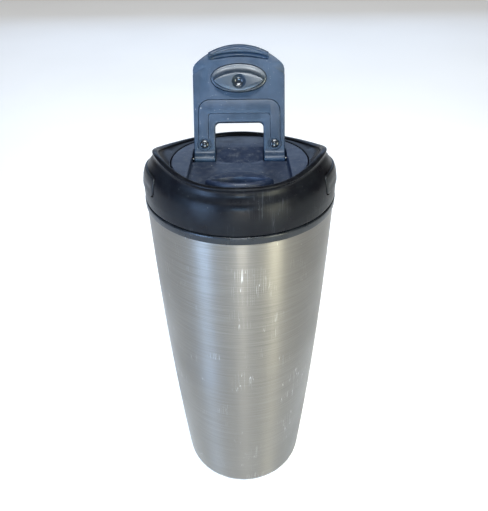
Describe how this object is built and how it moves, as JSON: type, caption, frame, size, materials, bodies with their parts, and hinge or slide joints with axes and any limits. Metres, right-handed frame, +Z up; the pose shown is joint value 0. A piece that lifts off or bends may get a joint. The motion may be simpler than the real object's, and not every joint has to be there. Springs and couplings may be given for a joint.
{
  "type": "insulated travel mug",
  "caption": "Tapered brushed-steel insulated travel mug with a screw-on black plastic lid, wavy rim and a flip-up flap that plugs the drinking hole.",
  "frame": {"origin": "centre of the flat underside that the mug stands on", "axes": "+Z up along the mug's axis, -Y towards the drinking side, +X to the right seen from the drinking side"},
  "size_m": [0.0832, 0.083, 0.2313],
  "materials": {
    "brushed_shell": "stainless steel brushed round the body",
    "base_plastic": "fine matt black",
    "pad_rubber": "soft matt black",
    "liner_plastic": "satin black",
    "foam": "pale rigid foam",
    "seal_rubber": "smooth black silicone",
    "deck_plastic": "fine matt blue-black",
    "collar_plastic": "satin gloss black",
    "grip_rubber": "soft satin black",
    "flap_plastic": "fine matt blue-black",
    "plug_rubber": "soft satin black",
    "stud_plastic": "polished black",
    "pin_steel": "ground stainless steel"
  },
  "bodies": {
    "mug": {"outer_shell": "brushed_shell", "base_plate": "base_plastic", "base_pad": "pad_rubber", "inner_liner": "liner_plastic", "insulation_foam": "foam", "flange_seal": "seal_rubber"},
    "lid_ring": {"lid_gasket": "seal_rubber"},
    "lid": {"lid_body": "deck_plastic", "lid_collar": "collar_plastic", "grip_left": "grip_rubber", "grip_right": "grip_rubber"},
    "flap": {"flap_plate": "flap_plastic", "flap_yoke": "flap_plastic", "plug_seal": "plug_rubber", "plug_peg": "stud_plastic", "stud_left": "stud_plastic", "stud_right": "stud_plastic", "hinge_pin_left": "pin_steel", "hinge_pin_right": "pin_steel"}
  },
  "joints": [
    {"name": "lid_lift", "type": "slide", "parent": "mug", "child": "lid_ring", "axis": [0, 0, 1], "range_m": [0, 0.02401]},
    {"name": "lid_turn", "type": "hinge", "parent": "lid_ring", "child": "lid", "pos_m": [0, 0, 0.18], "axis": [0, 0, 1], "range_deg": [0, 720]},
    {"name": "flap_hinge", "type": "hinge", "parent": "lid", "child": "flap", "pos_m": [0, 0.007, 0.1872], "axis": [1, 0, 0], "range_deg": [0, 105.3]}
  ],
  "couplings": [
    {"joint": "lid_lift", "follows": "lid_turn", "m_per_rad": 0.0019099}
  ]
}
